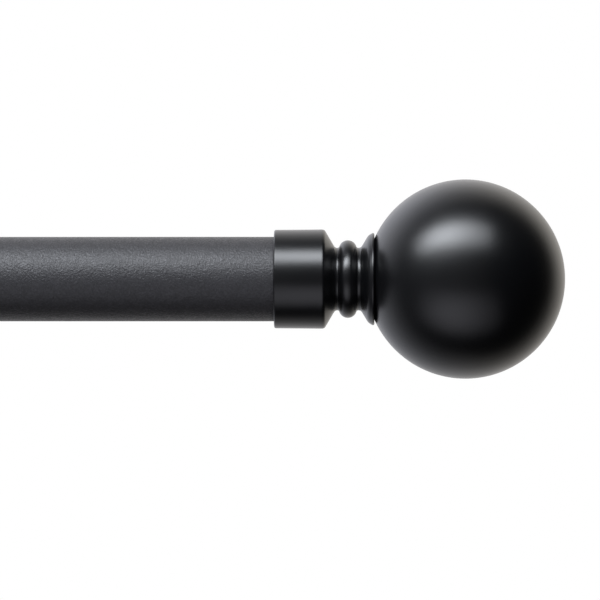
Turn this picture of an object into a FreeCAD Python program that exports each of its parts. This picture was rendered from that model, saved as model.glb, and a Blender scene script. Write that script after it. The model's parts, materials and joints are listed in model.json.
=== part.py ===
"""Telescoping curtain rod with two ball finials and two wall brackets of adjustable projection.

Frame, in millimetres: the wall is the plane y = 0, with +Y into the wall and +Z up. The origin is the
middle of the right wall plate's back face. The rod lies along X at y = -PROJECTION, z = 0.
Each physical piece is one STEP file. Pieces of the left side carry the names of the right side's.
"""
import FreeCAD, Part
import math
import os
from FreeCAD import Vector

# ---- Rod ----------------------------------------------------------------------------------------
COAT = 0.06                 # textured powder coat on the tubes, each side
OUTER_STEEL_D = 25.4        # 1 inch tube
INNER_STEEL_D = 22.2        # 7/8 inch tube
TUBE_WALL = 0.8
OUTER_R = OUTER_STEEL_D / 2 + COAT
INNER_R = INNER_STEEL_D / 2 + COAT
OUTER_BORE_R = OUTER_STEEL_D / 2 - TUBE_WALL
INNER_BORE_R = INNER_STEEL_D / 2 - TUBE_WALL
REST_LENGTH = 762.0         # 30 inches, tube end to tube end; the rod closes to 28 and opens to 48
OUTER_LENGTH = 695.0
INNER_LENGTH = 690.0
OVERHANG = 132.0            # from a bracket's middle to the tube end beyond it
SLIDE_GAP = 0.05            # radial play of every sliding fit
BROKEN_EDGE = 0.15          # how far cut edges are broken
SLIVER = 0.01               # left straight where a rounding takes a whole side

# ---- Places along the rod -----------------------------------------------------------------------
PROJECTION = 89.0           # wall to rod axis, with the arms pushed in
RIGHT_END = OVERHANG
LEFT_END = RIGHT_END - REST_LENGTH
LEFT_BRACKET_X = LEFT_END + OVERHANG
OUTER_MOUTH = RIGHT_END - OUTER_LENGTH

# ---- Finial, measured outward from the collar's mouth ----------------------------------------------
BALL_R = 30.0
COLLAR_MOUTH_R = 14.82
COLLAR_SHOULDER_R = 14.95   # the casting's draft
COLLAR_CUP_DEPTH = 12.5
COLLAR_SHOULDER = 15.08
MOUTH_EDGE_R = 0.5
SHOULDER_EDGE_R = 1.2
NECK_R = 9.42
NECK_START = 18.33
BEAD_MIDDLE = 22.16
BEAD_R = 2.7                # radius of the bead's section
BEAD_FOOT_R = 0.58          # hollow where the bead's side meets a neck
COVE_R = 1.2                # hollow where the cone and the flare meet a neck
BEAD_TOP_R = 11.70
BEAD_SIDE = math.radians(68)  # slope at which the bead's side meets the neck
FLARE_START = 26.06
FLARE_BEND = 28.30
FLARE_BEND_R = 13.15
FLARE_BEND_EDGE_R = 2.6     # rounding where the flare eases towards its lip
FLARE_FACE = 30.15
FLARE_LIP_R = 14.22
FLARE_LIP_EDGE_R = 0.45
BALL_MIDDLE = 57.53
BALL_WALL = 1.2
INSERT_R = 6.5
INSERT_LENGTH = 17.0
INSERT_FLANGE_R = 9.0
STUD_R = 3.0                # M6
STUD_START = 14.0
STUD_LENGTH = 31.0
FINIAL_SCREW_X = 6.4        # set screw, from the collar's mouth
ADAPTER_LIP = 0.8

# ---- Bracket, measured from its middle, the wall and the rod's axis ---------------------------------
PLATE_WIDTH = 32.0
PLATE_HEIGHT = 80.0
PLATE_THICK = 3.2
SCREW_SPACING = 56.0
WALL_HOLE_R = 2.5
WALL_SINK_R = 4.8
HUB_R = 10.0
HUB_FOOT_R = 13.5
HUB_LENGTH = 10.0
SLEEVE_R = 7.0
SLEEVE_BORE_R = 5.0 + SLIDE_GAP
SLEEVE_END = 58.0
SLEEVE_FLOOR = 1.6          # wall of the plate left behind the sleeve
SLEEVE_COLLAR_R = 9.5
SLEEVE_COLLAR_LENGTH = 11.0
SLEEVE_COLLAR_END = SLEEVE_END + 0.8    # its lip covers the sleeve's cut end
LOCK_Y = SLEEVE_COLLAR_LENGTH / 2 - SLEEVE_COLLAR_END   # place of the arm lock screw
ARM_R = 5.0
ARM_BACK = 3.5              # gap from the wall to the arm's inner end
CRADLE_PLAY = 0.3           # between the rod and its cradle
CRADLE_R = OUTER_R + CRADLE_PLAY
CRADLE_WALL = 3.5
CRADLE_WIDTH = 16.0
CRADLE_FRONT_HEIGHT = 8.0
CRADLE_BACK_HEIGHT = 13.0
CRADLE_BOSS_R = 7.2
CRADLE_BOSS_END = 22.0      # boss face behind the rod's axis
CRADLE_SOCKET_END = 18.0
FRONT_BOSS_R = 4.6
FRONT_BOSS_LENGTH = 2.0
FIXING_R = 2.5              # M5 countersunk screw
FIXING_HEAD_R = 4.6
FIXING_RIM = 0.3            # straight edge of its head
FIXING_RECESS = 0.3         # head below the cup's inside
FIXING_LENGTH = 16.0
FIXING_SPARE = 1.5          # tapped hole beyond its tip

# ---- Screws ---------------------------------------------------------------------------------------
THUMB_R = 1.95              # M4
THUMB_HOLE_R = THUMB_R + SLIDE_GAP
THUMB_HEAD_R = 5.0
THUMB_HEAD_LENGTH = 5.5
THUMB_PITCH = 0.7
THREAD_DEPTH = 0.35
KNURLS = 28
TIP_GAP = 0.05              # a tightened screw's tip to what it presses on
HEAD_GAP = 0.9              # thread that shows under a tightened thumb screw's head
SET_R = 1.45                # M3
SET_LENGTH = 1.75
SET_HEX = 1.5

AXIS_X = Vector(1, 0, 0)
AXIS_Y = Vector(0, 1, 0)
AXIS_Z = Vector(0, 0, 1)
ORIGIN = Vector(0, 0, 0)


# ---- Drawing helpers --------------------------------------------------------------------------------
def rounded_wire(corners, place):
    """Closed wire through (a, b, radius), each rounded by its radius; place maps (a, b) to a point."""
    points = [Vector(a, b, 0) for a, b, _ in corners]
    reaches = [0.0] * len(corners)
    runs = []
    for i, (_, _, radius) in enumerate(corners):
        here = points[i]
        back = (points[i - 1] - here).normalize()
        ahead = (points[(i + 1) % len(points)] - here).normalize()
        half = back.getAngle(ahead) / 2
        if radius and half < math.pi / 2 - 1e-6:
            reach = radius / math.tan(half)
            reaches[i] = reach
            centre = here + (back + ahead).normalize() * (radius / math.sin(half))
            middle = centre + (here - centre).normalize() * radius
            runs.append((here + back * reach, middle, here + ahead * reach))
        else:
            runs.append((here,))
    for i, point in enumerate(points):
        following = (i + 1) % len(points)
        room = point.distanceToPoint(points[following])
        assert reaches[i] + reaches[following] < room + 1e-6, f"no room to round corners {i} and {following}"
    edges = []
    for i, run in enumerate(runs):
        if len(run) == 3:
            start, middle, end = (place(p.x, p.y) for p in run)
            edges.append(Part.Arc(start, middle, end).toShape())
        start = place(run[-1].x, run[-1].y)
        following = runs[(i + 1) % len(runs)][0]
        end = place(following.x, following.y)
        if start.distanceToPoint(end) > 1e-6:
            edges.append(Part.LineSegment(start, end).toShape())
    return Part.Wire(edges)


def turned(corners):
    """Solid of revolution about X from corners (x, radius) or (x, radius, rounding)."""
    full = [c if len(c) == 3 else (*c, 0) for c in corners]
    face = Part.Face(rounded_wire(full, lambda x, r: Vector(x, r, 0)))
    return face.revolve(ORIGIN, AXIS_X, 360)


def tube(x0, x1, outer_r, inner_r, edge=BROKEN_EDGE):
    """Tube along X with slightly broken outer edges."""
    return turned([(x0, inner_r), (x0, outer_r, edge), (x1, outer_r, edge), (x1, inner_r)])


def rod_along(axis, start, length, radius):
    """Plain cylinder."""
    return Part.makeCylinder(radius, length, start, axis)


def threaded_corners(start, length, radius, pitch):
    """Outline of a threaded shank along X, its thread drawn as rings, from its tip towards its head."""
    first = start + THREAD_DEPTH
    turns = int((length - 2 * THREAD_DEPTH) / pitch)
    corners = [(start, 0), (start, radius - THREAD_DEPTH)]
    for i in range(turns):
        corners.append((first + i * pitch, radius))
        corners.append((first + (i + 0.5) * pitch, radius - THREAD_DEPTH))
    corners.append((first + turns * pitch, radius))
    return corners


def fused(first, *others):
    """One clean solid from several that touch or overlap."""
    return first.multiFuse(list(others)).removeSplitter()


def moved(shape, x=0.0, y=0.0, z=0.0):
    """The shape, shifted."""
    copy = shape.copy()
    copy.translate(Vector(x, y, z))
    return copy


def turned_about(shape, axis, degrees):
    """The shape, turned about an axis through the origin."""
    copy = shape.copy()
    copy.rotate(ORIGIN, axis, degrees)
    return copy


# ---- Screws, each made along +X from its tip at the origin -------------------------------------------
def thumb_screw(shank):
    """Knurled thumb screw with a screwdriver slot."""
    neck, neck_r = 0.8, 3.2
    groove_r, groove_out = 0.34, 0.08
    slot, slot_depth = 1.0, 1.1
    head = shank + neck
    end = shank + THUMB_HEAD_LENGTH
    corners = threaded_corners(0, shank, THUMB_R, THUMB_PITCH)
    corners += [
        (shank, THUMB_R), (shank, neck_r, 0.2), (head, neck_r), (head, THUMB_HEAD_R, 0.5),
        (end, THUMB_HEAD_R, 0.7), (end, 0),
    ]
    start = Vector(shank, THUMB_HEAD_R + groove_out, 0)
    groove = rod_along(AXIS_X, start, THUMB_HEAD_LENGTH, groove_r)
    grooves = [turned_about(groove, AXIS_X, 360 * i / KNURLS) for i in range(KNURLS)]
    corner = Vector(end - slot_depth, -end, -slot / 2)
    cut = Part.makeBox(2 * slot_depth, 2 * end, slot, corner)
    return turned(corners).cut(Part.makeCompound(grooves)).cut(cut)


def set_screw():
    """Headless screw with a hexagon socket."""
    tip, rim, floor = 0.4, 0.15, 0.7
    screw = turned([
        (0, 0), (0, SET_R - tip), (tip, SET_R), (SET_LENGTH - rim, SET_R), (SET_LENGTH, SET_R - rim),
        (SET_LENGTH, 0),
    ])
    reach = SET_HEX / 2 / math.cos(math.pi / 6)
    ring = [i * math.pi / 3 for i in range(7)]
    hexagon = Part.makePolygon([Vector(floor, reach * math.cos(a), reach * math.sin(a)) for a in ring])
    return screw.cut(Part.Face(hexagon).extrude(AXIS_X * SET_LENGTH))


def countersunk_screw():
    """Countersunk screw with a cross recess, along +X from its tip."""
    tip, blade, blade_width, blade_depth = 0.5, 1.0, 5.0, 1.8
    rim = FIXING_LENGTH - FIXING_RIM
    neck = rim - (FIXING_HEAD_R - FIXING_R)
    screw = turned([
        (0, 0), (0, FIXING_R - tip), (tip, FIXING_R), (neck, FIXING_R), (rim, FIXING_HEAD_R),
        (FIXING_LENGTH, FIXING_HEAD_R), (FIXING_LENGTH, 0),
    ])
    corner = Vector(FIXING_LENGTH - blade_depth, -blade_width / 2, -blade / 2)
    recess = Part.makeBox(2 * blade_depth, blade_width, blade, corner)
    return screw.cut(recess).cut(turned_about(recess, AXIS_X, 90))


# ---- Rod ----------------------------------------------------------------------------------------------
def outer_tube():
    return tube(OUTER_MOUTH, RIGHT_END, OUTER_R, OUTER_BORE_R)


def inner_tube():
    return tube(LEFT_END, LEFT_END + INNER_LENGTH, INNER_R, INNER_BORE_R)


def mouth_bushing():
    """Nylon ring in the outer tube's mouth, with a lip that covers the cut edge."""
    inside, lip = 18.0, 1.5
    bore = INNER_R + SLIDE_GAP
    return turned([
        (OUTER_MOUTH - lip, bore), (OUTER_MOUTH - lip, OUTER_R, 0.6), (OUTER_MOUTH, OUTER_R),
        (OUTER_MOUTH, OUTER_BORE_R), (OUTER_MOUTH + inside, OUTER_BORE_R), (OUTER_MOUTH + inside, bore),
    ])


def glide_plug():
    """Nylon plug in the inner tube's hidden end, which keeps it central in the outer tube."""
    end = LEFT_END + INNER_LENGTH
    inside, head, wall = 14.0, 7.0, 1.6
    slide_r = OUTER_BORE_R - SLIDE_GAP
    return turned([
        (end - inside, INNER_BORE_R - wall), (end - inside, INNER_BORE_R, 0.5), (end, INNER_BORE_R),
        (end, slide_r, 0.4), (end + head, slide_r, 1.0), (end + head, 0), (end + head - wall, 0),
        (end + head - wall, INNER_BORE_R - wall),
    ])


# ---- Finial, in its own frame: along +X from the collar's mouth -----------------------------------------
def finial_collar():
    """Turned collar: cup over the tube, cone, bead between two necks, and a flare under the ball."""
    lean = 1 / math.tan(BEAD_SIDE)
    top = BEAD_R * math.tan(BEAD_SIDE / 2)
    foot = top + (BEAD_TOP_R - NECK_R) * lean
    bead = [
        (BEAD_MIDDLE - foot, NECK_R, BEAD_FOOT_R), (BEAD_MIDDLE - top, BEAD_TOP_R, BEAD_R),
        (BEAD_MIDDLE + top, BEAD_TOP_R, BEAD_R), (BEAD_MIDDLE + foot, NECK_R, BEAD_FOOT_R),
    ]
    bore = OUTER_R + SLIDE_GAP
    body = turned([
        (0, bore, BROKEN_EDGE), (0, COLLAR_MOUTH_R, MOUTH_EDGE_R),
        (COLLAR_SHOULDER, COLLAR_SHOULDER_R, SHOULDER_EDGE_R), (NECK_START, NECK_R, COVE_R),
        *bead, (FLARE_START, NECK_R, COVE_R), (FLARE_BEND, FLARE_BEND_R, FLARE_BEND_EDGE_R),
        (FLARE_FACE, FLARE_LIP_R, FLARE_LIP_EDGE_R), (FLARE_FACE, STUD_R),
        (COLLAR_CUP_DEPTH, STUD_R), (COLLAR_CUP_DEPTH, bore),
    ])
    return body.cut(rod_along(AXIS_Y, Vector(FINIAL_SCREW_X, 0, 0), 2 * BALL_R, SET_R + SLIDE_GAP))


def finial_stud():
    corners = threaded_corners(STUD_START, STUD_LENGTH, STUD_R, 1.0)
    end = STUD_START + STUD_LENGTH
    return turned([*corners, (end - 0.5, STUD_R), (end, STUD_R - 0.5), (end, 0)])


def finial_ball():
    """Hollow ball with a flat seat against the flare, bored for its insert."""
    centre = Vector(BALL_MIDDLE, 0, 0)
    ball = Part.makeSphere(BALL_R, centre).cut(Part.makeSphere(BALL_R - BALL_WALL, centre))
    waste = rod_along(AXIS_X, ORIGIN, FLARE_FACE, BALL_R)
    seat_r = math.sqrt(BALL_R**2 - (BALL_MIDDLE - FLARE_FACE) ** 2)
    seat = rod_along(AXIS_X, Vector(FLARE_FACE, 0, 0), BALL_WALL, seat_r - BALL_WALL / 2)
    bore = rod_along(AXIS_X, ORIGIN, BALL_MIDDLE, INSERT_R)
    return ball.fuse(seat).cut(waste).cut(bore).removeSplitter()


def ball_insert():
    """Brass insert fixed inside the ball, tapped for the stud."""
    start = FLARE_FACE
    shoulder = start + BALL_WALL
    end = start + INSERT_LENGTH
    return turned([
        (start, STUD_R), (start, INSERT_R), (shoulder, INSERT_R), (shoulder, INSERT_FLANGE_R),
        (shoulder + 1.6, INSERT_FLANGE_R, 0.3), (shoulder + 1.6, INSERT_R), (end, INSERT_R, 0.5),
        (end, STUD_R),
    ])


def finial_set_screw():
    """Set screw in the back of the collar, with its tip on the tube or the adapter."""
    screw = turned_about(set_screw(), AXIS_Z, 90)
    return moved(screw, FINIAL_SCREW_X, OUTER_R + TIP_GAP)


def adapter_sleeve():
    """Slit plastic sleeve that packs the collar out to the thinner tube."""
    end_gap, lip_rise, slit = 0.4, 0.6, 1.2
    bore = INNER_R + SLIDE_GAP
    packed_r = OUTER_R + SLIDE_GAP
    lip_r = packed_r + lip_rise
    end = COLLAR_CUP_DEPTH - end_gap
    body = turned([
        (-ADAPTER_LIP, bore), (-ADAPTER_LIP, lip_r, 0.3), (0, lip_r), (0, packed_r),
        (end, packed_r, 0.3), (end, bore),
    ])
    corner = Vector(-2 * ADAPTER_LIP, -slit / 2, -2 * OUTER_R)
    return body.cut(Part.makeBox(end + 3 * ADAPTER_LIP, slit, 2 * OUTER_R, corner))


def finial():
    """Every piece of one finial by name."""
    return {
        "finial_collar": finial_collar(),
        "finial_stud": finial_stud(),
        "finial_ball": finial_ball(),
        "ball_insert": ball_insert(),
        "finial_set_screw": finial_set_screw(),
    }


# ---- Bracket, in its own frame: x = 0 is its middle and y = 0 the wall ------------------------------------
def wall_plate():
    """Oval plate with a hub for the sleeve and two countersunk screw holes."""
    front_edge, step, slope = 1.6, 0.4, 1.2
    w, h, r = PLATE_WIDTH / 2, PLATE_HEIGHT / 2, PLATE_WIDTH / 2 - SLIVER
    corners = [(-w, -h, r), (w, -h, r), (w, h, r), (-w, h, r)]
    face = Part.Face(rounded_wire(corners, lambda x, z: Vector(x, 0, z)))
    plate = face.extrude(AXIS_Y * -PLATE_THICK)
    front = [e for e in plate.Edges if e.BoundBox.YMax < -PLATE_THICK + SLIVER]
    plate = plate.makeFillet(front_edge, front)
    foot = PLATE_THICK + step
    hub = turned([
        (PLATE_THICK / 2, 0), (PLATE_THICK / 2, HUB_FOOT_R), (foot, HUB_FOOT_R, step),
        (foot + slope, HUB_R, 0.8), (HUB_LENGTH, HUB_R, 1.2), (HUB_LENGTH, 0),
    ])
    body = fused(plate, turned_about(hub, AXIS_Z, -90))
    over = PLATE_THICK          # how far each cut starts in front of the metal
    holes = [rod_along(AXIS_Y, Vector(0, -HUB_LENGTH - over, 0), HUB_LENGTH + over - SLEEVE_FLOOR, SLEEVE_R)]
    for z in (-SCREW_SPACING / 2, SCREW_SPACING / 2):
        front = Vector(0, -PLATE_THICK, z)
        holes.append(rod_along(AXIS_Y, front - AXIS_Y * over, PLATE_THICK + 2 * over, WALL_HOLE_R))
        holes.append(Part.makeCone(WALL_SINK_R, WALL_HOLE_R, WALL_SINK_R - WALL_HOLE_R, front, AXIS_Y))
    for hole in holes:
        body = body.cut(hole)
    return body


def arm_sleeve():
    """Fixed tube of the arm, pressed into the hub."""
    hole = rod_along(AXIS_Z, Vector(0, LOCK_Y, -SLEEVE_COLLAR_R), SLEEVE_COLLAR_R, THUMB_HOLE_R)
    body = turned_about(tube(SLEEVE_FLOOR, SLEEVE_END, SLEEVE_R, SLEEVE_BORE_R, 0.3), AXIS_Z, -90)
    return body.cut(hole)


def sleeve_collar():
    """Ring on the sleeve's end that carries the lock screw's thread."""
    end = SLEEVE_COLLAR_END
    start = end - SLEEVE_COLLAR_LENGTH
    mouth_r = SLEEVE_BORE_R + BROKEN_EDGE
    ring = turned([
        (start, SLEEVE_R), (start, SLEEVE_COLLAR_R, 0.9), (end, SLEEVE_COLLAR_R, 0.9), (end, mouth_r, 0.1),
        (SLEEVE_END, mouth_r), (SLEEVE_END, SLEEVE_R),
    ])
    hole = rod_along(AXIS_Z, Vector(0, LOCK_Y, -2 * SLEEVE_COLLAR_R), 2 * SLEEVE_COLLAR_R, THUMB_HOLE_R)
    return turned_about(ring, AXIS_Z, -90).cut(hole)


def arm_rod():
    """Sliding bar of the arm, tapped in its front end for the cradle's screw."""
    front = PROJECTION - CRADLE_SOCKET_END
    bar = turned([(ARM_BACK, 0), (ARM_BACK, ARM_R, 0.6), (front, ARM_R, 0.3), (front, 0)])
    depth = FIXING_LENGTH - (CRADLE_SOCKET_END - CRADLE_R - FIXING_RECESS) + FIXING_SPARE
    tapped = rod_along(AXIS_X, Vector(front - depth, 0, 0), depth, FIXING_R)
    return turned_about(bar.cut(tapped), AXIS_Z, -90)


def cradle():
    """Open-topped cup for the rod, with a boss behind for the arm and one in front for the clamp screw."""
    inner, outer = CRADLE_R, CRADLE_R + CRADLE_WALL
    tip = CRADLE_WALL / 2 - SLIVER
    corners = [
        (outer, CRADLE_BACK_HEIGHT, tip), (outer, -outer, outer - SLIVER), (-outer, -outer, outer - SLIVER),
        (-outer, CRADLE_FRONT_HEIGHT, tip), (-inner, CRADLE_FRONT_HEIGHT, tip),
        (-inner, -inner, inner - SLIVER), (inner, -inner, inner - SLIVER), (inner, CRADLE_BACK_HEIGHT, tip),
    ]
    half = CRADLE_WIDTH / 2
    face = Part.Face(rounded_wire(corners, lambda y, z: Vector(-half, y, z)))
    cup = face.extrude(AXIS_X * CRADLE_WIDTH)
    sides = [e for e in cup.Edges if e.BoundBox.XLength < SLIVER]
    cup = cup.makeFillet(0.7, sides)
    root = outer - CRADLE_WALL / 2      # where both bosses start, inside the cup's wall
    front_end = outer + FRONT_BOSS_LENGTH
    back = turned([(root, 0), (root, CRADLE_BOSS_R), (CRADLE_BOSS_END, CRADLE_BOSS_R, 0.9),
                   (CRADLE_BOSS_END, 0)])
    front = turned([(root, 0), (root, FRONT_BOSS_R), (front_end, FRONT_BOSS_R, 0.6), (front_end, 0)])
    body = fused(cup, turned_about(back, AXIS_Z, 90), turned_about(front, AXIS_Z, -90))
    hollow = inner / 2                  # where the holes towards the arm start, inside the cup
    head = inner + FIXING_RECESS + FIXING_RIM
    holes = [
        rod_along(AXIS_Y, Vector(0, CRADLE_SOCKET_END, 0), CRADLE_BOSS_END, ARM_R),
        rod_along(AXIS_Y, Vector(0, hollow, 0), CRADLE_BOSS_END, FIXING_R),
        rod_along(AXIS_Y, Vector(0, hollow, 0), head - hollow, FIXING_HEAD_R),
        Part.makeCone(FIXING_HEAD_R, FIXING_R, FIXING_HEAD_R - FIXING_R, Vector(0, head, 0), AXIS_Y),
        rod_along(AXIS_Y, Vector(0, -2 * outer, 0), outer + hollow, THUMB_HOLE_R),
    ]
    for hole in holes:
        body = body.cut(hole)
    return moved(body, y=-PROJECTION)


def cradle_fixing_screw():
    """Countersunk screw from inside the cup into the arm."""
    screw = turned_about(countersunk_screw(), AXIS_Z, -90)
    return moved(screw, y=CRADLE_R + FIXING_RECESS + FIXING_LENGTH - PROJECTION)


def rod_clamp_screw():
    """Thumb screw through the cup's front, with its tip on the rod."""
    shank = CRADLE_PLAY + CRADLE_WALL + FRONT_BOSS_LENGTH + HEAD_GAP
    return moved(turned_about(thumb_screw(shank), AXIS_Z, -90), y=-OUTER_R - TIP_GAP - PROJECTION)


def arm_lock_screw():
    """Thumb screw under the sleeve's collar, with its tip on the arm."""
    shank = SLEEVE_COLLAR_R - ARM_R + HEAD_GAP
    return moved(turned_about(thumb_screw(shank), AXIS_Y, 90), y=LOCK_Y, z=-ARM_R - TIP_GAP)


def bracket():
    """Every piece of one bracket by name."""
    return {
        "wall_plate": wall_plate(),
        "arm_sleeve": arm_sleeve(),
        "sleeve_collar": sleeve_collar(),
        "arm_rod": arm_rod(),
        "cradle": cradle(),
        "cradle_fixing_screw": cradle_fixing_screw(),
        "rod_clamp_screw": rod_clamp_screw(),
        "arm_lock_screw": arm_lock_screw(),
    }


# ---- Assembly ---------------------------------------------------------------------------------------------
def assembly():
    """Every piece of the curtain rod in place, by node name."""
    pieces = {
        "outer_tube": outer_tube(),
        "mouth_bushing": mouth_bushing(),
        "inner_tube": inner_tube(),
        "glide_plug": glide_plug(),
    }
    for name in list(pieces):
        pieces[name] = moved(pieces[name], y=-PROJECTION)
    mouth = RIGHT_END - COLLAR_CUP_DEPTH + 0.2
    left_mouth = LEFT_END + COLLAR_CUP_DEPTH - 0.2
    left_only = {"adapter_sleeve": adapter_sleeve()}
    for name, shape in finial().items():
        pieces["right_" + name] = moved(shape, mouth, -PROJECTION)
        left_only[name] = shape
    for name, shape in left_only.items():
        pieces["left_" + name] = moved(turned_about(shape, AXIS_Y, 180), left_mouth, -PROJECTION)
    for name, shape in bracket().items():
        pieces["right_" + name] = shape
        pieces["left_" + name] = moved(shape, LEFT_BRACKET_X)
    return pieces


def main():
    os.makedirs("parts", exist_ok=True)
    for name, shape in assembly().items():
        (solid,) = shape.Solids
        print(f"{name:28s} valid {solid.isValid()} volume {solid.Volume:9.1f} mm3")
        solid.exportStep(f"parts/{name}.step")


main()
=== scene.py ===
"""Curtain rod with brackets: finishes, fine tubes, studio and camera.

Metres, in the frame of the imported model.
"""

import json
import math

import bmesh
import bpy
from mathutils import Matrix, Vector

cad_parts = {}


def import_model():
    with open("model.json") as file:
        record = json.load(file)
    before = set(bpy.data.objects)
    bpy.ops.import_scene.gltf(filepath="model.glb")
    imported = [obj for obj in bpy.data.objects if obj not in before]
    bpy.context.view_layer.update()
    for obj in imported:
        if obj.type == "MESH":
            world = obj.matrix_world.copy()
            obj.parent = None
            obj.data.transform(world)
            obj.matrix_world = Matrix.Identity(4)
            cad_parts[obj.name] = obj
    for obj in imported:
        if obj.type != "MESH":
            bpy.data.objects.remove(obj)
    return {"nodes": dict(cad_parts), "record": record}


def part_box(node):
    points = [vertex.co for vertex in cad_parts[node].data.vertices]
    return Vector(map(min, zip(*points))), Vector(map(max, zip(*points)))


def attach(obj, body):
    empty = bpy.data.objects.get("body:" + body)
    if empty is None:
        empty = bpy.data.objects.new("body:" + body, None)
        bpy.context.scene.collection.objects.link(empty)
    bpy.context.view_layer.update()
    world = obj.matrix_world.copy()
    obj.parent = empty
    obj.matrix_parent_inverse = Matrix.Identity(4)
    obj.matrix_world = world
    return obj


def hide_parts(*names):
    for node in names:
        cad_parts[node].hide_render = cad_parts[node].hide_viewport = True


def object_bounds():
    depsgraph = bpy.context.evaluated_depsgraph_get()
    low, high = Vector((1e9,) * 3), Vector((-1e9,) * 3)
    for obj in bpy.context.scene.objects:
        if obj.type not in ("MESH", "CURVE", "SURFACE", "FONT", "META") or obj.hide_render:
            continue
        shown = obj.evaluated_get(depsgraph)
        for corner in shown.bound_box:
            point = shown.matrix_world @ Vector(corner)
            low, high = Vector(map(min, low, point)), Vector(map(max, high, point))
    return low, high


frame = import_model()
cad_low, cad_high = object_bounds()

# ---- Places, all from the frame ------------------------------------------------------------------
tube_low, tube_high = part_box("outer_tube")
AXIS_Y = (tube_low.y + tube_high.y) / 2
AXIS_Z = (tube_low.z + tube_high.z) / 2
MOUTH_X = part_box("right_finial_collar")[0].x      # open end of the right collar

# ---- Fine tubes and balls ------------------------------------------------------------------------
TUBE_WALL = 0.0008
TUBE_COAT = 0.00006
TUBE_SIDES = 160
TUBE_RING = 0.02            # length between rings
CUT_EDGE = 0.00015          # rounding of a cut end
EDGE_STEPS = 3
BALL_WALL = 0.0012
BALL_BORE = 0.0065          # hole in the seat for the brass insert
BALL_SIDES = 192
BALL_STEPS = 60             # rings from the pole to the widest place
TUBE_SHARP = math.radians(40)
BALL_SHARP = math.radians(15)

# ---- Finishes -------------------------------------------------------------------------------------
EDGE_SAMPLES = 6
EDGE_FLAT = 0.99            # how far a face and its rounded self agree where it is flat
EDGE_SHARP = 0.8            # and along a sharp edge
NIB_CELL = 0.007            # specks of dust under a smooth coat: one cell in four holds one
NIB_SHARE = 0.25
NIB_RADIUS = 0.0002
NIB_HEIGHT = 0.00004
COARSE_SCALE = 0.3          # the powder coat's second, coarser grain, against its fine one
COARSE_SHARE = 0.3
MOTTLE_SHARE = 0.15
TOOL_LINES = (8000.0, 300.0, 300.0)
SPARK_DEPTH = 0.00002
SHINE_REACH = 0.0003
SHINE = -0.15               # what worn nylon edges lose in roughness

# ---- Camera: a long lens, square on to the wall, a little right of the picture's middle ----------
LENS = 282.0
SENSOR = 36.0
DISTANCE = 1.4156
CAMERA_SIDE = 0.0219
LOOK_RIGHT = 0.00775        # from the collar's mouth to the middle of the picture
LOOK_DOWN = 0.0063
TARGET = Vector((MOUTH_X + LOOK_RIGHT, AXIS_Y, AXIS_Z - LOOK_DOWN))
CLIP_START = 0.05
CLIP_END = 60.0

# ---- Studio --------------------------------------------------------------------------------------
FLOOR_Z = -1.2
FLOOR_RADIUS = 6.0
FLOOR_SIDES = 96
FLOOR_SHADE = 0.85
FLOOR_LIFT = 0.45           # the floor's own share of light, which keeps it pale all over
FLOOR_FADE = (0.6, 5.4)     # how far out it starts to turn white, and is white
AIM_RIGHT = 0.03            # from the collar's mouth to where both softboxes point
LIGHT_DISTANCE = 1.2        # from the finial to each softbox
LIGHT_END = 0.25            # what is left of a softbox's light at its ends and along its rims
LIGHT_RIM = 0.4
LIGHT_RIM_START = 0.2
KEY_TINT = (0.96, 1.0, 1.06)
CARD_TINT = (1.0, 1.0, 1.1)
ROOM = 0.004                # the dark front half of the room
FILL = 0.11                 # a faint glow in the room, in front and to the left
FILL_FROM = (-0.6, -0.8, 0.0)
FILL_EDGE = 0.3
PAPER = 1.03                # the paper's light straight behind the object
PAPER_RIGHT = -0.28         # what it gains along +X, along +Z, and along +Z away from the middle
PAPER_UP = 0.35
PAPER_SIDES_UP = 0.65
PAPER_CORNER = -0.23
PAPER_START = 0.03          # where it starts and is full along +Y, and how both shift to the sides
PAPER_FULL = 0.72
START_RIGHT = 0.44
START_LEFT = 0.12
FULL_LEFT = 0.25
PAPER_TINTS = ((0.97, 0.99, 1.08), (1.05, 1.0, 0.92))      # on the left and on the right
TINT_REACH = 0.6


def camera():
    """The camera that looks at the right end of the rod."""
    data = bpy.data.cameras.new("camera")
    data.lens = LENS
    data.sensor_width = SENSOR
    data.clip_start = CLIP_START
    data.clip_end = CLIP_END
    place = bpy.data.objects.new("camera", data)
    bpy.context.scene.collection.objects.link(place)
    place.location = TARGET + Vector((CAMERA_SIDE, -DISTANCE, 0))
    place.rotation_euler = (TARGET - place.location).to_track_quat("-Z", "Y").to_euler()
    bpy.context.scene.camera = place


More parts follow.
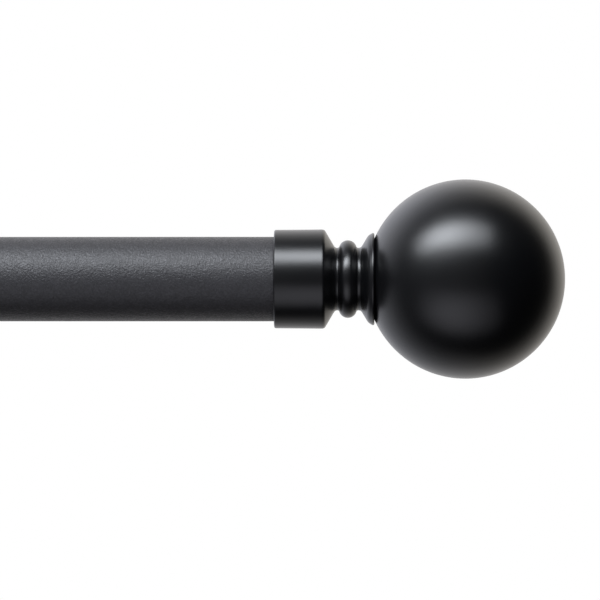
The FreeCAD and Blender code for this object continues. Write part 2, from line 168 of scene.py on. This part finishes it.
# ---- Node helpers --------------------------------------------------------------------------------
class Graph:
    """Short names for building one node tree."""

    def __init__(self, tree):
        self.tree = tree
        tree.nodes.clear()

    def add(self, kind, **settings):
        node = self.tree.nodes.new(kind)
        for name, value in settings.items():
            setattr(node, name, value)
        return node

    def join(self, source, target):
        self.tree.links.new(source, target)

    def feed(self, sockets, values):
        for socket, value in zip(sockets, values):
            if isinstance(value, (int, float)):
                socket.default_value = value
            elif isinstance(value, tuple):
                socket.default_value = (*value, 1.0)
            else:
                self.join(value, socket)

    def math(self, operation, *values):
        node = self.add("ShaderNodeMath", operation=operation)
        self.feed(node.inputs, values)
        return node.outputs[0]

    def ramp(self, value, low, high, to_low=0.0, to_high=1.0, smooth=True):
        kind = "SMOOTHSTEP" if smooth else "LINEAR"
        node = self.add("ShaderNodeMapRange", interpolation_type=kind)
        self.feed(node.inputs[:5], (value, low, high, to_low, to_high))
        return node.outputs[0]

    def noise(self, scale, detail=2.0, roughness=0.5, vector=None):
        node = self.add("ShaderNodeTexNoise")
        node.inputs["Scale"].default_value = scale
        node.inputs["Detail"].default_value = detail
        node.inputs["Roughness"].default_value = roughness
        if vector is not None:
            self.join(vector, node.inputs["Vector"])
        return node.outputs["Fac"]

    def blend(self, share, first, second):
        node = self.add("ShaderNodeMix", data_type="RGBA")
        self.feed((node.inputs[0], node.inputs[6], node.inputs[7]), (share, first, second))
        return node.outputs[2]

    def bump(self, height, distance, strength=1.0, below=None):
        node = self.add("ShaderNodeBump")
        node.inputs["Strength"].default_value = strength
        node.inputs["Distance"].default_value = distance
        self.join(height, node.inputs["Height"])
        if below is not None:
            self.join(below, node.inputs["Normal"])
        return node.outputs[0]


def surface(name):
    """A new material with a graph, its place in the model's frame and its shader."""
    finish = bpy.data.materials.new(name)
    finish.use_nodes = True
    graph = Graph(finish.node_tree)
    output = graph.add("ShaderNodeOutputMaterial")
    shader = graph.add("ShaderNodeBsdfPrincipled")
    graph.join(shader.outputs[0], output.inputs["Surface"])
    place = graph.add("ShaderNodeTexCoord").outputs["Object"]
    return finish, graph, place, shader


# ---- Finishes ------------------------------------------------------------------------------------
def edges(graph, reach):
    """Share that is 1 along sharp edges and 0 on flat and gently curved faces."""
    bevel = graph.add("ShaderNodeBevel", samples=EDGE_SAMPLES)
    bevel.inputs["Radius"].default_value = reach
    apart = graph.add("ShaderNodeVectorMath", operation="DOT_PRODUCT")
    graph.join(bevel.outputs[0], apart.inputs[0])
    graph.join(graph.add("ShaderNodeNewGeometry").outputs["Normal"], apart.inputs[1])
    return graph.ramp(apart.outputs["Value"], EDGE_FLAT, EDGE_SHARP)


def nibs(graph, place):
    """Height of sparse round specks of dust under the coat."""
    cells = graph.add("ShaderNodeTexVoronoi")
    cells.inputs["Scale"].default_value = 1.0 / NIB_CELL
    graph.join(place, cells.inputs["Vector"])
    reach = NIB_RADIUS / NIB_CELL
    near = graph.ramp(cells.outputs["Distance"], reach, 0.2 * reach)
    pick = graph.add("ShaderNodeSeparateColor")
    graph.join(cells.outputs["Color"], pick.inputs[0])
    return graph.math("MULTIPLY", near, graph.math("LESS_THAN", pick.outputs[0], NIB_SHARE))


def powder_coat(name, dark, light, roughness, grain, depth):
    """Fine-textured powder coat: a close grain of low bumps with paler tops, on a faint mottle."""
    finish, graph, place, shader = surface(name)
    fine = graph.noise(1.0 / grain, roughness=0.6, vector=place)
    coarse = graph.noise(COARSE_SCALE / grain, vector=place)
    mottle = graph.noise(60.0, vector=place)
    height = graph.math("MULTIPLY_ADD", coarse, COARSE_SHARE, fine)
    tops = graph.ramp(graph.math("MULTIPLY_ADD", mottle, MOTTLE_SHARE, height), 0.55, 1.0)
    graph.join(graph.blend(tops, dark, light), shader.inputs["Base Color"])
    sheen = graph.ramp(height, 0.5, 0.95, to_low=roughness + 0.08, to_high=roughness - 0.08)
    graph.join(sheen, shader.inputs["Roughness"])
    graph.join(graph.bump(height, depth), shader.inputs["Normal"])
    return finish


def satin_black(name, base, roughness, peel_depth, worn, worn_reach):
    """Smooth sprayed satin coat: orange peel, dust nibs, and thin paler paint along sharp edges."""
    finish, graph, place, shader = surface(name)
    peel = graph.noise(260.0, roughness=0.4, vector=place)
    haze = graph.noise(35.0, detail=3.0, vector=place)
    patches = graph.ramp(graph.noise(700.0, vector=place), 0.3, 0.6)
    rubbed = graph.math("MULTIPLY", edges(graph, worn_reach), patches)
    graph.join(graph.blend(rubbed, base, worn), shader.inputs["Base Color"])
    sheen = graph.ramp(haze, 0.3, 0.7, to_low=roughness - 0.02, to_high=roughness + 0.02)
    graph.join(sheen, shader.inputs["Roughness"])
    skin = graph.bump(peel, peel_depth)
    graph.join(graph.bump(nibs(graph, place), NIB_HEIGHT, below=skin), shader.inputs["Normal"])
    return finish


def metal(name, base, dull, roughness, line_depth):
    """Turned metal: fine tool lines round the rod's direction and dull spots in the plating."""
    finish, graph, place, shader = surface(name)
    shader.inputs["Metallic"].default_value = 1.0
    spots = graph.ramp(graph.noise(500.0, detail=3.0, roughness=0.6, vector=place), 0.45, 0.7)
    graph.join(graph.blend(spots, base, dull), shader.inputs["Base Color"])
    sheen = graph.ramp(spots, 0.0, 1.0, to_low=roughness, to_high=roughness + 0.15)
    graph.join(sheen, shader.inputs["Roughness"])
    stretched = graph.add("ShaderNodeMapping")
    stretched.inputs["Scale"].default_value = TOOL_LINES
    graph.join(place, stretched.inputs["Vector"])
    lines = graph.noise(1.0, vector=stretched.outputs[0])
    graph.join(graph.bump(lines, line_depth), shader.inputs["Normal"])
    return finish


def nylon(name, base, pale, roughness):
    """Moulded nylon: the mould's fine spark texture, faint flow marks and a shine along worn edges."""
    finish, graph, place, shader = surface(name)
    flow = graph.ramp(graph.noise(90.0, detail=3.0, vector=place), 0.4, 0.7)
    graph.join(graph.blend(flow, base, pale), shader.inputs["Base Color"])
    spark = graph.noise(2500.0, vector=place)
    sheen = graph.ramp(spark, 0.3, 0.7, to_low=roughness - 0.05, to_high=roughness + 0.05)
    shine = graph.math("MULTIPLY", edges(graph, SHINE_REACH), SHINE)
    graph.join(graph.math("ADD", sheen, shine), shader.inputs["Roughness"])
    graph.join(graph.bump(spark, SPARK_DEPTH), shader.inputs["Normal"])
    return finish


FINISHES = {
    "rod_coat": powder_coat(
        "rod_coat", dark=(0.0155, 0.0150, 0.0168), light=(0.0285, 0.0277, 0.031),
        roughness=0.45, grain=0.00055, depth=0.0002),
    "finial_coat": satin_black(
        "finial_coat", base=(0.002, 0.0021, 0.0026), roughness=0.3, peel_depth=0.00002,
        worn=(0.004, 0.0042, 0.0055), worn_reach=0.0002),
    "bracket_coat": satin_black(
        "bracket_coat", base=(0.006, 0.006, 0.0065), roughness=0.38, peel_depth=0.00004,
        worn=(0.02, 0.02, 0.021), worn_reach=0.0004),
    "black_screw": satin_black(
        "black_screw", base=(0.01, 0.01, 0.011), roughness=0.33, peel_depth=0.00002,
        worn=(0.06, 0.06, 0.062), worn_reach=0.00025),
    "zinc_steel": metal(
        "zinc_steel", base=(0.6, 0.61, 0.64), dull=(0.42, 0.43, 0.45),
        roughness=0.28, line_depth=0.00001),
    "insert_brass": metal(
        "insert_brass", base=(0.75, 0.52, 0.22), dull=(0.5, 0.36, 0.17),
        roughness=0.26, line_depth=0.00001),
    "black_nylon": nylon(
        "black_nylon", base=(0.008, 0.008, 0.0085), pale=(0.012, 0.012, 0.012), roughness=0.48),
    "pale_nylon": nylon(
        "pale_nylon", base=(0.62, 0.6, 0.52), pale=(0.7, 0.68, 0.6), roughness=0.45),
}


def dress_frame():
    """Gives every CAD node the finish of its slot."""
    slots = {part["node"]: part["material_slot"] for part in frame["record"]["subparts"]}
    for name, node in frame["nodes"].items():
        node.data.materials.clear()
        node.data.materials.append(FINISHES[slots[name]])


# ---- Fine tubes and balls ------------------------------------------------------------------------
def lathe(name, outline, turns, sharp):
    """Closed solid round the rod's axis from a closed outline of (x, radius) points."""
    work = bmesh.new()
    angles = [2 * math.pi * i / turns for i in range(turns)]
    rings = []
    for x, radius in outline:
        if radius == 0:
            rings.append([work.verts.new((x, AXIS_Y, AXIS_Z))] * turns)
            continue
        points = [(x, AXIS_Y + radius * math.sin(a), AXIS_Z + radius * math.cos(a)) for a in angles]
        rings.append([work.verts.new(point) for point in points])
    for i, ring in enumerate(rings):
        following = rings[(i + 1) % len(rings)]
        for j in range(turns):
            k = (j + 1) % turns
            corners = list(dict.fromkeys((ring[j], following[j], following[k], ring[k])))
            if len(corners) > 2:
                work.faces.new(corners)
    bmesh.ops.recalc_face_normals(work, faces=work.faces)
    shape = bpy.data.meshes.new(name)
    work.to_mesh(shape)
    work.free()
    shape.shade_smooth()
    shape.set_sharp_from_angle(angle=sharp)
    piece = bpy.data.objects.new(name, shape)
    bpy.context.scene.collection.objects.link(piece)
    return piece


def put(piece, slot, node, body):
    """Puts a fine piece in a CAD node's place."""
    piece.data.materials.append(FINISHES[slot])
    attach(piece, body)
    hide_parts(node)


def smooth_tube(name, node, body):
    """Finely turned tube in a CAD tube's place, with rounded cut edges and rings for an even mesh."""
    low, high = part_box(node)
    radius = (high.z - low.z) / 2
    bore = radius - TUBE_COAT - TUBE_WALL
    corners = [math.pi / 2 * i / EDGE_STEPS for i in range(EDGE_STEPS + 1)]
    left = [
        (low.x + CUT_EDGE * (1 - math.sin(a)), radius - CUT_EDGE * (1 - math.cos(a)))
        for a in corners
    ]
    right = [(low.x + high.x - x, r) for x, r in left]
    inner = high.x - low.x - 2 * CUT_EDGE
    spans = round(inner / TUBE_RING)
    between = [low.x + CUT_EDGE + inner * i / spans for i in range(1, spans)]
    along = [(x, radius) for x in between]
    outline = [(low.x, bore), *reversed(left), *along, *right, (high.x, bore)]
    put(lathe(name, outline, TUBE_SIDES, TUBE_SHARP), "rod_coat", node, body)


def smooth_ball(name, node, body, outward):
    """Finely turned hollow ball in a CAD ball's place. Outward is 1 for +X and -1 for -X."""
    low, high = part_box(node)
    seat, pole = (low.x, high.x) if outward > 0 else (high.x, low.x)
    radius = (high.z - low.z) / 2
    middle = pole - outward * radius

    def arc(reach, end):
        """From the pole back to a place along X, on a sphere of this radius."""
        last = math.acos(outward * (end - middle) / reach)
        step = math.pi / 2 / BALL_STEPS
        angles = [*(i * step for i in range(math.floor(last / step))), last]
        return [(middle + outward * reach * math.cos(a), reach * math.sin(a)) for a in angles]

    behind = seat + outward * BALL_WALL
    outer, inner = arc(radius, seat), arc(radius - BALL_WALL, behind)
    outline = [(seat, BALL_BORE), *reversed(outer), *inner, (behind, BALL_BORE)]
    put(lathe(name, outline, BALL_SIDES, BALL_SHARP), "finial_coat", node, body)


# ---- Studio --------------------------------------------------------------------------------------
def softbox(name, aim, side, elevation, width, height, power, tint):
    """Strip light parallel to the rod that faces it from an elevation, brightest at its middle."""
    data = bpy.data.lights.new(name, "AREA")
    data.shape = "RECTANGLE"
    data.size = width
    data.size_y = height
    data.energy = power
    data.color = tint
    data.use_nodes = True
    graph = Graph(data.node_tree)
    output = graph.add("ShaderNodeOutputLight")
    glow = graph.add("ShaderNodeEmission")
    across = graph.add("ShaderNodeSeparateXYZ")
    graph.join(graph.add("ShaderNodeNewGeometry").outputs["Parametric"], across.inputs[0])
    places = [graph.math("MULTIPLY_ADD", share, 2.0, -1.0) for share in across.outputs[:2]]
    from_middle, from_centreline = [graph.math("ABSOLUTE", place) for place in places]
    along = graph.ramp(from_middle, 0.0, 1.0, 1.0, LIGHT_END)
    upright = graph.ramp(from_centreline, LIGHT_RIM_START, 1.0, 1.0, LIGHT_RIM)
    graph.join(graph.math("MULTIPLY", along, upright), glow.inputs["Strength"])
    graph.join(glow.outputs[0], output.inputs["Surface"])
    light = bpy.data.objects.new(name, data)
    bpy.context.scene.collection.objects.link(light)
    away = Vector((side, -math.cos(elevation), math.sin(elevation)))
    light.location = aim + away * LIGHT_DISTANCE
    light.rotation_euler = (math.pi / 2 - elevation, 0, 0)


def world():
    """White paper for the camera; for the object, paper behind it that fades out in front."""
    sky = bpy.data.worlds.new("studio")
    bpy.context.scene.world = sky
    sky.use_nodes = True
    graph = Graph(sky.node_tree)
    output = graph.add("ShaderNodeOutputWorld")
    ray = graph.add("ShaderNodeLightPath").outputs["Is Camera Ray"]
    parts = graph.add("ShaderNodeSeparateXYZ")
    direction = graph.add("ShaderNodeTexCoord").outputs["Generated"]
    graph.join(direction, parts.inputs[0])
    right, back, up = parts.outputs
    rightward = graph.math("MAXIMUM", right, 0.0)
    leftward = graph.math("MINIMUM", right, 0.0)
    start = graph.math("MULTIPLY_ADD", rightward, START_RIGHT, PAPER_START)
    start = graph.math("MULTIPLY_ADD", leftward, START_LEFT, start)
    full = graph.math("MULTIPLY_ADD", leftward, FULL_LEFT, PAPER_FULL)
    paper = graph.ramp(back, start, full, smooth=False)
    rise = graph.math("MULTIPLY_ADD", graph.math("ABSOLUTE", right), PAPER_SIDES_UP, PAPER_UP)
    rise = graph.math("MULTIPLY_ADD", right, PAPER_CORNER, rise)
    level = graph.math("MULTIPLY_ADD", right, PAPER_RIGHT, PAPER)
    light = graph.math("MULTIPLY_ADD", up, rise, level)
    glow = graph.math("MULTIPLY_ADD", paper, light, ROOM)
    near_fill = graph.add("ShaderNodeVectorMath", operation="DOT_PRODUCT")
    graph.join(direction, near_fill.inputs[0])
    near_fill.inputs[1].default_value = FILL_FROM
    fill = graph.ramp(near_fill.outputs["Value"], FILL_EDGE, 1.0, 0.0, FILL)
    studio = graph.add("ShaderNodeBackground")
    graph.join(graph.math("ADD", glow, fill), studio.inputs["Strength"])
    tint = graph.blend(graph.ramp(right, -TINT_REACH, TINT_REACH), *PAPER_TINTS)
    graph.join(tint, studio.inputs["Color"])
    backdrop = graph.add("ShaderNodeBackground")
    backdrop.inputs["Color"].default_value = (1, 1, 1, 1)
    both = graph.add("ShaderNodeMixShader")
    graph.join(ray, both.inputs[0])
    graph.join(studio.outputs[0], both.inputs[1])
    graph.join(backdrop.outputs[0], both.inputs[2])
    graph.join(both.outputs[0], output.inputs["Surface"])


def floor():
    """Pale round floor below the rod, as white as the backdrop towards its rim."""
    shape = bpy.data.meshes.new("floor")
    work = bmesh.new()
    bmesh.ops.create_circle(work, cap_ends=True, radius=FLOOR_RADIUS, segments=FLOOR_SIDES)
    work.to_mesh(shape)
    work.free()
    plate = bpy.data.objects.new("floor", shape)
    bpy.context.scene.collection.objects.link(plate)
    plate.location = ((cad_low.x + cad_high.x) / 2, AXIS_Y, FLOOR_Z)
    finish, graph, place, shader = surface("floor_paper")
    reach = graph.add("ShaderNodeVectorMath", operation="LENGTH")
    graph.join(place, reach.inputs[0])
    outward = graph.ramp(reach.outputs["Value"], *FLOOR_FADE)
    shade = graph.blend(outward, (FLOOR_SHADE,) * 3, (0.0, 0.0, 0.0))
    graph.join(shade, shader.inputs["Base Color"])
    shader.inputs["Emission Color"].default_value = (1.0, 1.0, 1.0, 1.0)
    graph.join(graph.ramp(outward, 0.0, 1.0, FLOOR_LIFT, 1.0), shader.inputs["Emission Strength"])
    grain = graph.noise(40.0, detail=3.0, vector=place)
    graph.join(graph.ramp(grain, 0.3, 0.7, 0.75, 0.85), shader.inputs["Roughness"])
    shape.materials.append(finish)
    plate.visible_glossy = False
    plate.visible_diffuse = False
    plate.visible_shadow = False


def studio():
    """Backdrop, floor, a key light above the rod and a weak card below it."""
    bpy.context.scene.view_settings.view_transform = "Standard"
    world()
    floor()
    aim = Vector((MOUTH_X + AIM_RIGHT, AXIS_Y, AXIS_Z))
    softbox("key", aim, side=-0.42, elevation=math.radians(54),
            width=2.2, height=0.7, power=80.0, tint=KEY_TINT)
    softbox("card", aim, side=-0.26, elevation=math.radians(-41),
            width=2.4, height=1.2, power=9.2, tint=CARD_TINT)


dress_frame()
smooth_tube("fine_outer_tube", "outer_tube", "outer_rod")
smooth_tube("fine_inner_tube", "inner_tube", "inner_rod")
smooth_ball("fine_right_ball", "right_finial_ball", "right_finial", 1)
smooth_ball("fine_left_ball", "left_finial_ball", "left_finial", -1)
camera()
studio()
